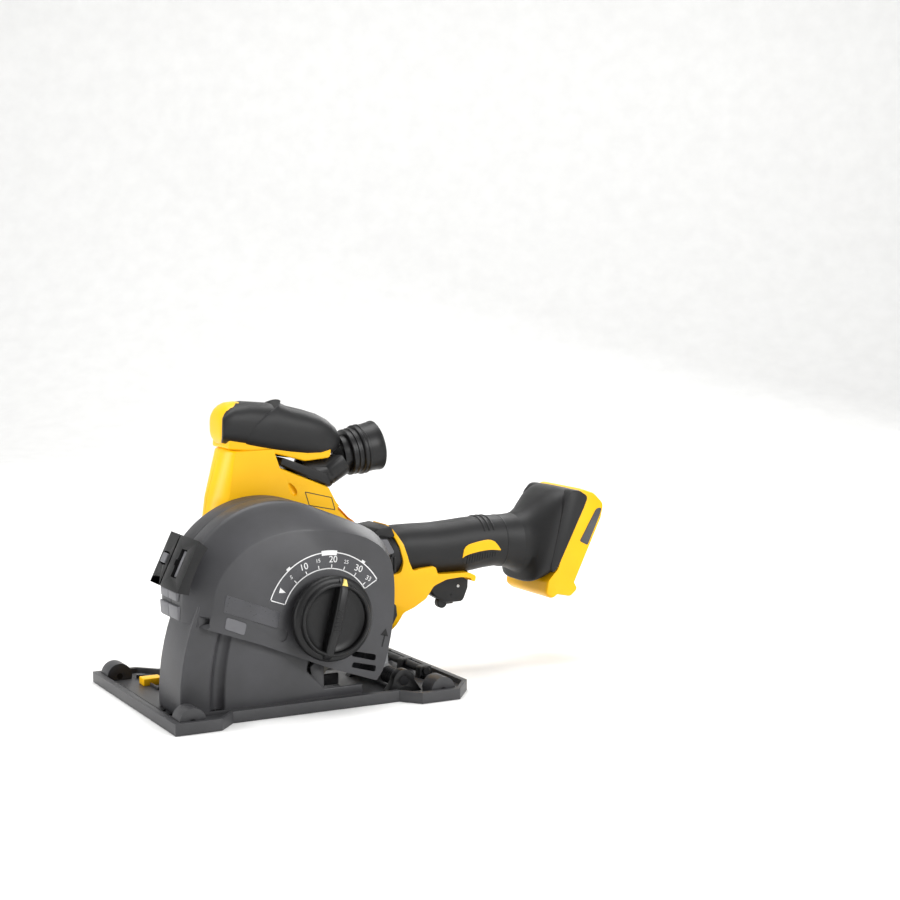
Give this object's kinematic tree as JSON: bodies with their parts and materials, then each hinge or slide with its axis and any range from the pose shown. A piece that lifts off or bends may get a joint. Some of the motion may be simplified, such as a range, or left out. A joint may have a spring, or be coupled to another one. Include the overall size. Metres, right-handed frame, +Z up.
{
  "type": "wall chaser",
  "caption": "Battery wall chaser: twin diamond discs in a guard that plunges through a flat roller shoe, with a depth dial, top grip, dust port and rear handle.",
  "frame": {"origin": "centre of the flat sole of the shoe, on the wall's surface", "axes": "+X rearwards towards the battery foot, +Y from the depth dial's side towards the motor's side, +Z up, away from the wall being cut"},
  "size_m": [0.426, 0.201, 0.239],
  "materials": {
    "guard_grey": "moulded glass-filled nylon, fine texture",
    "black_plastic": "moulded nylon, fine texture",
    "yellow_plastic": "moulded nylon, satin",
    "black_rubber": "overmoulded elastomer, matte",
    "cast_alloy": "die-cast, bead-blasted",
    "steel": "ground and oiled",
    "dark_steel": "black oxide",
    "roller_plastic": "acetal",
    "diamond": "steel core with sintered rim",
    "lamination": "stacked laminations and windings",
    "fan_plastic": "moulded nylon",
    "board": "potted circuit board",
    "marker_yellow": "moulded nylon"
  },
  "bodies": {
    "shoe": {"shoe_plate": "guard_grey", "lower_guard": "guard_grey", "roller_covers": "guard_grey", "roller_axles": "steel", "pivot_brackets": "black_plastic", "pivot_shaft": "steel", "return_spring": "dark_steel", "depth_stop": "dark_steel", "cut_indicator": "black_plastic", "parking_catch": "marker_yellow", "shoe_screws": "dark_steel"},
    "spindle_set": {"spindle": "steel", "diamond_discs": "diamond", "disc_spacers": "steel", "inner_flange": "steel", "clamp_nut": "dark_steel", "crown_gear": "steel"},
    "motor_rotor": {"motor_shaft": "steel", "rotor": "lamination", "cooling_fan": "fan_plastic", "pinion": "steel"},
    "dial_stem": {"dial_stem": "dark_steel"},
    "depth_dial": {"depth_dial": "black_plastic"},
    "trigger": {"trigger": "black_plastic"},
    "lock_off_lever": {"lock_off_lever": "black_plastic"},
    "spindle_lock": {"spindle_lock": "black_plastic"},
    "latch_hook": {"latch_hook": "black_plastic"},
    "latch_button": {"latch_button": "black_plastic"},
    "dust_collar": {"dust_collar": "black_plastic"},
    "roller_front_near": {"roller_front_near": "roller_plastic"},
    "roller_front_far": {"roller_front_far": "roller_plastic"},
    "roller_rear_near": {"roller_rear_near": "roller_plastic"},
    "roller_rear_far": {"roller_rear_far": "roller_plastic"},
    "tool": {"battery_foot": "yellow_plastic", "bearing_plates": "cast_alloy", "control_board": "board", "duct_far": "yellow_plastic", "duct_near": "yellow_plastic", "dust_elbow": "black_plastic", "foot_boot": "black_rubber", "gearcase": "cast_alloy", "gearcase_cap": "cast_alloy", "grip_sleeve": "black_rubber", "guard_cover": "guard_grey", "handle_far": "yellow_plastic", "handle_near": "yellow_plastic", "latch_base": "black_plastic", "latch_catch": "steel", "motor_bearings": "steel", "motor_housing": "yellow_plastic", "pivot_arm": "cast_alloy", "spindle_bearings": "steel", "stator": "lamination", "switch_module": "black_plastic", "terminal_block": "black_plastic", "top_grip_core": "yellow_plastic", "top_grip_pad": "black_rubber", "trigger_guard": "yellow_plastic", "trigger_pin": "steel", "upper_guard": "guard_grey"}
  },
  "joints": [
    {"name": "plunge", "type": "hinge", "parent": "shoe", "child": "tool", "pos_m": [0.074, 0, 0.0136], "axis": [0, -1, 0], "range_deg": [0, 21], "stiffness_Nm_per_rad": 4, "springref_deg": -51.57},
    {"name": "spindle_spin", "type": "hinge", "parent": "tool", "child": "spindle_set", "pos_m": [-0.028, 0, 0.07], "axis": [0, 1, 0], "continuous": true},
    {"name": "rotor_spin", "type": "hinge", "parent": "tool", "child": "motor_rotor", "pos_m": [-0.028, 0.025, 0.07], "axis": [0.9829, 0, 0.184], "continuous": true},
    {"name": "dial_press", "type": "slide", "parent": "tool", "child": "dial_stem", "axis": [0, 1, 0], "range_m": [0, 0.0012], "stiffness_N_per_m": 800, "springref_m": -0.004},
    {"name": "dial_turn", "type": "hinge", "parent": "dial_stem", "child": "depth_dial", "pos_m": [0.006, 0, 0.073], "axis": [0, 1, 0], "range_deg": [-76, 46]},
    {"name": "trigger_squeeze", "type": "hinge", "parent": "tool", "child": "trigger", "pos_m": [0.134, 0, 0.096], "axis": [0, -1, 0], "range_deg": [0, 6], "stiffness_Nm_per_rad": 2, "springref_deg": -8.59},
    {"name": "lock_off_push", "type": "hinge", "parent": "trigger", "child": "lock_off_lever", "pos_m": [0.1575, 0, 0.065], "axis": [0, -1, 0], "range_deg": [0, 15], "stiffness_Nm_per_rad": 0.05, "springref_deg": -17.19},
    {"name": "spindle_lock_press", "type": "slide", "parent": "tool", "child": "spindle_lock", "axis": [0, 0, -1], "range_m": [0, 0.0012], "stiffness_N_per_m": 600, "springref_m": -0.003},
    {"name": "latch_swing", "type": "hinge", "parent": "tool", "child": "latch_hook", "pos_m": [-0.1155, 0, 0.105], "axis": [0, -1, 0], "range_deg": [0, 50]},
    {"name": "latch_button_press", "type": "slide", "parent": "tool", "child": "latch_button", "axis": [0.9037, 0, -0.4281], "range_m": [0, 0.0028], "stiffness_N_per_m": 500, "springref_m": -0.003},
    {"name": "dust_collar_turn", "type": "hinge", "parent": "tool", "child": "dust_collar", "pos_m": [0.05948, 0.005, 0.1929], "axis": [0.9848, 0, 0.1736], "range_deg": [-90, 90]},
    {"name": "roller_front_near_spin", "type": "hinge", "parent": "shoe", "child": "roller_front_near", "pos_m": [-0.114, -0.086, 0.00765], "axis": [0, 1, 0], "continuous": true},
    {"name": "roller_front_far_spin", "type": "hinge", "parent": "shoe", "child": "roller_front_far", "pos_m": [-0.114, 0.086, 0.00765], "axis": [0, 1, 0], "continuous": true},
    {"name": "roller_rear_near_spin", "type": "hinge", "parent": "shoe", "child": "roller_rear_near", "pos_m": [0.099, -0.086, 0.00765], "axis": [0, 1, 0], "continuous": true},
    {"name": "roller_rear_far_spin", "type": "hinge", "parent": "shoe", "child": "roller_rear_far", "pos_m": [0.099, 0.086, 0.00765], "axis": [0, 1, 0], "continuous": true}
  ],
  "couplings": [
    {"joint": "rotor_spin", "follows": "spindle_spin", "ratio": -4}
  ]
}
